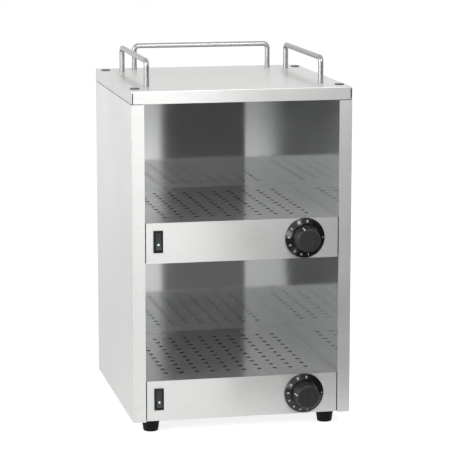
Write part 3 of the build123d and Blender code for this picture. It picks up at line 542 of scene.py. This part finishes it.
# %% Folded panels, cover and fascias
for node_name, name, material in (
    ("top_cover", "cover_sheet", satin_across),
    ("left_outer_panel", "left_side_sheet", satin_round),
    ("right_outer_panel", "right_side_sheet", satin_round),
    ("rear_outer_panel", "rear_sheet", satin_round),
    ("lower_fascia", "lower_front_sheet", satin_across),
    ("upper_fascia", "upper_front_sheet", satin_across),
):
    sheet_piece = finished_copy(node_name, name, material=material)
    print(name, len(sheet_piece.data.polygons), "faces")

# %% [markdown]
# The shelf trays are punched. A punch cuts the upper part of the sheet and tears the rest, so the
# wall of each hole is rough and dull, and it lies in shade below the bright face. The faces of those
# walls get a nearly black finish of their own: a dull torn edge with painted shade on it.

# %% Trays with punched holes
side_margin, end_margin, wall_depth = 0.015, 0.020, 0.002  # where hole walls are on a tray
# Torn edge of punched or sheared sheet: dull, with painted shade that makes it nearly black.
torn_edge_painted_shade = grained("steel_edge_painted_shade", "#2c2c2b", "#1d1d1c", 0.75, 0.08, 0.5, 0.00003, 1.0)
for level in ("lower", "upper"):
    tray = finished_copy(level + "_tray", level + "_punched_tray", material=tray_sheet, flats=False)
    # The hole walls get the torn edge with painted shade.
    tray.data.materials.append(torn_edge_painted_shade)
    low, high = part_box(level + "_tray")
    walls = 0
    for face in tray.data.polygons:
        inside = (abs(face.center.x) < high.x - side_margin
                  and low.y + end_margin < face.center.y < high.y - end_margin)
        if inside and abs(face.normal.z) < 0.5 and face.center.z > high.z - wall_depth:
            face.material_index = 1
            walls += 1
    print(tray.name, walls, "hole wall faces")

# %% [markdown]
# Through the narrow gaps beside the fascias the eye looks into the heater spaces and at the trays'
# front flanges, and under the cover's rim it meets the upper edges of the walls. Those places lie in
# shade. Their faces get painted shade: brown-black on the heater pans and the tray flanges, and
# nearly black on the upper edges of the walls, so the seams read as dark lines.

# %% Painted shade in the gaps and under the rim
edge_depth = 0.003  # how far below the cover's rim the top edges of the walls lie at most
# Painted shade for steel seen through the gaps: brown-black and matt.
painted_gap_shade = grained("gap_shade_painted_steel", "#3a3430", "#262322", 0.60, 0.08, 4.0, 0.00001, 1.0)


def paint_faces(obj, material, wanted):
    """Gives the faces that pass a test a second material."""
    obj.data.materials.append(material)
    picked = [face for face in obj.data.polygons if wanted(face)]
    for face in picked:
        face.material_index = len(obj.data.materials) - 1
    print(obj.name, len(picked), "faces in", material.name)


# The upper faces of the heater pans get painted shade.
for node_name, name in (("upper_shelf_pan", "upper_heater_pan"), ("base_plate", "lower_heater_pan")):
    paint_faces(finished_copy(node_name, name), painted_gap_shade, lambda face: face.normal.z > 0.5)
# The front flanges of the trays, behind the fascia gaps, get painted shade.
for level in ("lower", "upper"):
    paint_faces(bpy.data.objects[level + "_punched_tray"], painted_gap_shade, lambda face: face.normal.y < -0.5)
rim_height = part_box("top_cover")[0].z
# The upper edges of the side walls, under the cover's rim, get painted shade.
for name in ("left_side_sheet", "right_side_sheet"):
    paint_faces(
        bpy.data.objects[name], torn_edge_painted_shade,
        lambda face: face.normal.z > 0.5 and face.center.z > rim_height - edge_depth,
    )

# %% [markdown]
# ## Gallery rails
# Each rail is one 8 mm rod, bent at both ends, with a thread turned on its feet that goes through
# the cover. A curve with a round section could make it, but here it is drawn the way it is bent: a
# circle is pulled up, spun round the bend, pulled along, spun again and pulled down. The spin gives
# an even bend with as many rings as it needs.

# %% Bent rods
rod_radius, bend_radius, stud_radius = 0.004, 0.007, 0.0025
rod_sides, bend_steps = 32, 10


def edit_all(obj):
    """Opens an object in edit mode with everything selected."""
    only(obj)
    bpy.ops.object.mode_set(mode="EDIT")
    bpy.ops.mesh.select_mode(type="VERT")
    bpy.ops.mesh.select_all(action="SELECT")


def pull(x, y, z):
    """Pulls new walls or faces out of what is selected."""
    bpy.ops.mesh.extrude_region_move(TRANSFORM_OT_translate={"value": (x, y, z)})


def pick(obj, kind, test):
    """In edit mode, selects the faces (FACE) or edges (EDGE) that pass a test, and nothing else."""
    bpy.ops.mesh.select_all(action="DESELECT")
    bpy.ops.mesh.select_mode(type=kind)
    mesh = bmesh.from_edit_mesh(obj.data)
    for element in mesh.faces if kind == "FACE" else mesh.edges:
        if test(element):
            element.select_set(True)
    bmesh.update_edit_mesh(obj.data)


def bent_rod(node_name, name, start, end):
    """A rail from one leg's place on the cover to the other's."""
    low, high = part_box(node_name)
    cover_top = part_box("top_cover")[1].z
    leg = high.z - rod_radius - bend_radius - cover_top
    run = Vector((end[0] - start[0], end[1] - start[1], 0))
    step = run.normalized()
    bpy.ops.object.select_all(action="DESELECT")
    bpy.ops.mesh.primitive_circle_add(
        vertices=rod_sides, radius=rod_radius, location=(*start, cover_top)
    )
    rod = bpy.context.object
    edit_all(rod)
    pull(0, 0, leg)
    axis = Vector((0, 0, 1)).cross(step)
    centre = Vector((*start, cover_top + leg)) + step * bend_radius
    bpy.ops.mesh.spin(steps=bend_steps, angle=-pi / 2, center=centre, axis=axis)
    pull(*(step * (run.length - 2 * bend_radius)))
    centre = Vector((*end, cover_top + leg)) - step * bend_radius
    bpy.ops.mesh.spin(steps=bend_steps, angle=-pi / 2, center=centre, axis=axis)
    pull(0, 0, -leg)
    bpy.ops.mesh.select_all(action="SELECT")
    bpy.ops.mesh.remove_doubles(threshold=0.00001)
    bpy.ops.mesh.select_all(action="DESELECT")
    bpy.ops.mesh.select_mode(type="EDGE")
    bpy.ops.mesh.select_non_manifold()
    bpy.ops.mesh.fill_holes(sides=0)
    bpy.ops.mesh.select_all(action="SELECT")
    bpy.ops.mesh.normals_make_consistent(inside=False)
    pick(rod, "FACE", lambda f: len(f.verts) == rod_sides)
    bpy.ops.mesh.inset(thickness=rod_radius - stud_radius)
    pull(0, 0, low.z - cover_top)
    bpy.ops.object.mode_set(mode="OBJECT")
    smooth(rod, 50)
    fit_piece(rod, name, "cabinet", finishes["bright_rod"], [node_name])
    print(name, "top", round(max(v.co.z for v in rod.data.vertices), 4), "CAD", round(high.z, 4))


for side in ("left", "right"):
    low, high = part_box(side + "_rail")
    x = (low.x + high.x) / 2
    bent_rod(side + "_rail", side + "_gallery_rod", (x, low.y + rod_radius), (x, high.y - rod_radius))
low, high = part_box("rear_rail")
y = (low.y + high.y) / 2
bent_rod("rear_rail", "rear_gallery_rod", (low.x + rod_radius, y), (high.x - rod_radius, y))

# %% [markdown]
# ## Dials
# A thermostat dial has two mouldings: a fixed gloss ring that slopes down to its rim and carries
# the numbers, and a satin knob that turns inside it. The ring is drawn as its section is: a circle
# is pulled out for the rim, drawn in and out for the slope, and pushed back for the bore. The knob
# is a cone cut off short, with its front edge rounded, a round recess 0.3 mm deep in its middle,
# and its back hollowed out to a boss.

# %% Dial rings
front_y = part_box("lower_fascia")[0].y


def dial_centre(level):
    low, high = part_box(level + "_dial_ring")
    return (low.x + high.x) / 2, (low.z + high.z) / 2


ring_radius, bore_radius, edge_height, bore_height = 0.030, 0.02075, 0.003, 0.006
ring_sides, ring_edge = 128, 0.0006
for level in ("lower", "upper"):
    x, z = dial_centre(level)
    middle = (x, front_y, z)
    bpy.ops.object.select_all(action="DESELECT")
    bpy.ops.mesh.primitive_circle_add(
        vertices=ring_sides, radius=ring_radius, location=middle, rotation=(pi / 2, 0, 0)
    )
    ring = bpy.context.object
    edit_all(ring)
    pull(0, -edge_height, 0)
    pull(0, edge_height - bore_height, 0)
    shrink = bore_radius / ring_radius
    bpy.ops.transform.resize(value=(shrink, 1, shrink), center_override=middle)
    pull(0, bore_height, 0)
    bpy.ops.mesh.select_all(action="DESELECT")
    bpy.ops.mesh.select_mode(type="EDGE")
    bpy.ops.mesh.select_non_manifold()
    bpy.ops.mesh.bridge_edge_loops()
    bpy.ops.mesh.select_all(action="SELECT")
    bpy.ops.mesh.normals_make_consistent(inside=False)
    bpy.ops.object.mode_set(mode="OBJECT")
    apply_modifier(ring, "BEVEL", width=ring_edge, segments=3, limit_method="ANGLE",
                   angle_limit=radians(40))
    smooth(ring, 40)
    fit_piece(ring, level + "_number_ring", "cabinet", finishes["black_ring_plastic"],
              [level + "_dial_ring"])
    print(ring.name, [round(v * 1000, 1) for v in ring.dimensions], "mm")

# %% Knobs
knob_base, knob_face, knob_sides = 0.020, 0.0175, 96
front_edge, recess_rim, recess_depth = 0.0025, 0.0088, 0.0003
wall, front_thickness, boss_gap, boss_depth = 0.0022, 0.004, 0.0113, 0.009
hair = 0.0001  # how near to a plane a face counts as lying in it
pointer_edge = 0.0001
for level in ("lower", "upper"):
    x, z = dial_centre(level)
    low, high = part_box(level + "_knob")
    depth = high.y - low.y
    bpy.ops.object.select_all(action="DESELECT")
    bpy.ops.mesh.primitive_cone_add(
        vertices=knob_sides, radius1=knob_base, radius2=knob_face, depth=depth,
        location=(x, (low.y + high.y) / 2, z), rotation=(pi / 2, 0, 0),
    )
    knob = bpy.context.object
    bpy.ops.object.transform_apply(location=True, rotation=True, scale=True)
    edit_all(knob)
    pick(knob, "EDGE", lambda e: max(v.co.y for v in e.verts) < low.y + hair)
    bpy.ops.mesh.bevel(offset=front_edge, segments=8, affect="EDGES")
    pick(knob, "FACE", lambda f: len(f.verts) == knob_sides and f.calc_center_median().y < low.y + hair)
    bpy.ops.mesh.inset(thickness=recess_rim)
    bpy.ops.mesh.inset(thickness=recess_depth, depth=-recess_depth)
    pick(knob, "FACE", lambda f: len(f.verts) == knob_sides and f.calc_center_median().y > high.y - hair)
    bpy.ops.mesh.inset(thickness=wall)
    pull(0, low.y + front_thickness - high.y, 0)
    bpy.ops.mesh.inset(thickness=boss_gap)
    pull(0, high.y - boss_depth - low.y - front_thickness, 0)
    bpy.ops.mesh.select_all(action="SELECT")
    bpy.ops.mesh.normals_make_consistent(inside=False)
    bpy.ops.object.mode_set(mode="OBJECT")
    smooth(knob, 40)
    fit_piece(knob, level + "_control_knob", level + "_knob", finishes["black_knob_plastic"],
              [level + "_knob"])
    finished_copy(level + "_pointer", level + "_pointer_line", level + "_knob", pointer_edge)
    print(knob.name, [round(v * 1000, 1) for v in knob.dimensions], "mm")

# %% [markdown]
# The numbers are printed on the sloping ring and read from the rim inwards, 30 to 90 degrees
# round the left half, with a thin line for off at the bottom and a dot at the right. Text objects
# give clean figures. Each is made a mesh, then laid on the slope by a matrix whose X axis runs
# inwards and up the slope and whose Z axis stands straight off it.

# %% Printed numbers
rise, reach = bore_height - edge_height, ring_radius - bore_radius
slope = atan2(rise, reach)
marks = [("30", -166), ("40", -141), ("50", -114), ("60", -86), ("70", -57), ("80", -24), ("90", 6)]
number_size, number_radius, dot_radius = 0.0039, 0.0253, 0.0268
ink, ink_lift = 0.00004, 0.00003  # how thick the print is, and how high its middle lies
off_line, dot = (0.0052, 0.0006), (0.0014, 0.0014)


def on_slope(level, angle, radius, lift):
    """A place on a ring, X inwards up the slope, Z straight off it, the angle clockwise from the top."""
    x, z = dial_centre(level)
    outward = Vector((sin(radians(angle)), 0, cos(radians(angle))))
    front = Vector((0, -1, 0))
    reading = -outward * cos(slope) + front * sin(slope)
    off = front * cos(slope) + outward * sin(slope)
    upward = off.cross(reading)
    height = edge_height + (ring_radius - radius) * rise / reach
    place = Vector((x, front_y, z)) + outward * radius + front * height + off * lift
    rows = zip(reading, upward, off, place)
    return Matrix((*rows, (0, 0, 0, 1)))


for level in ("lower", "upper"):
    printed = []
    for words, angle in marks:
        bpy.ops.object.select_all(action="DESELECT")
        bpy.ops.object.text_add()
        text = bpy.context.object
        text.data.body = words
        text.data.size = number_size
        text.data.align_x = "CENTER"
        text.data.align_y = "CENTER"
        text.data.extrude = ink / 2
        bpy.ops.object.convert(target="MESH")
        text = bpy.context.object
        text.matrix_world = on_slope(level, angle, number_radius, ink_lift)
        printed.append(text)
    for angle, radius, size in ((170, number_radius, off_line), (90, dot_radius, dot)):
        bpy.ops.object.select_all(action="DESELECT")
        bpy.ops.mesh.primitive_cylinder_add(vertices=24, radius=0.5, depth=ink)
        mark = bpy.context.object
        mark.scale = (*size, 1)
        bpy.ops.object.transform_apply(location=True, rotation=True, scale=True)
        mark.matrix_world = on_slope(level, angle, radius, ink_lift)
        printed.append(mark)
    bpy.ops.object.select_all(action="DESELECT")
    for piece in printed:
        piece.select_set(True)
    bpy.context.view_layer.objects.active = printed[0]
    bpy.ops.object.join()
    numbers = bpy.context.object
    fit_piece(numbers, level + "_dial_numbers", "cabinet", finishes["white_inlay"])
    print(numbers.name, len(numbers.data.polygons), "faces")

# %% [markdown]
# ## Switches
# A rocker switch snaps into the fascia from the front. Its frame, its rocker and the lens are
# mouldings with small radii on every edge, which catch thin highlights. Rounded copies of the
# CAD solids give these.

# %% Rounded switch mouldings
switch_edge, lens_edge = 0.0003, 0.00025
for level in ("lower", "upper"):
    key = level + "_rocker"
    finished_copy(level + "_switch_housing", level + "_switch_frame", "cabinet", switch_edge)
    finished_copy(key, level + "_rocker_key", key, switch_edge)
    finished_copy(level + "_indicator_lens", level + "_lamp_lens", key, lens_edge, segments=3)
print("switch edges", switch_edge * 1000, "mm, lens edges", lens_edge * 1000, "mm")

# %% [markdown]
# ## Feet and caps
# The feet are tapered rubber with a soft lower edge, moulded round a sunk screw. The cover screws
# hide under flat round caps, and a nylon gland sits in the rear panel. Copies of the CAD solids are
# rounded and shaded smoothly.

# %% Rounded feet, caps and gland
foot_edge, cap_edge, gland_edge = 0.0012, 0.0005, 0.0004
finished_copy("feet", "rubber_feet", "cabinet", foot_edge, segments=3)
finished_copy("cover_caps", "screw_caps", "cabinet", cap_edge, segments=3)
finished_copy("cable_gland", "cord_gland", "cabinet", gland_edge)
print("foot edges", foot_edge * 1000, "mm, cap edges", cap_edge * 1000, "mm")
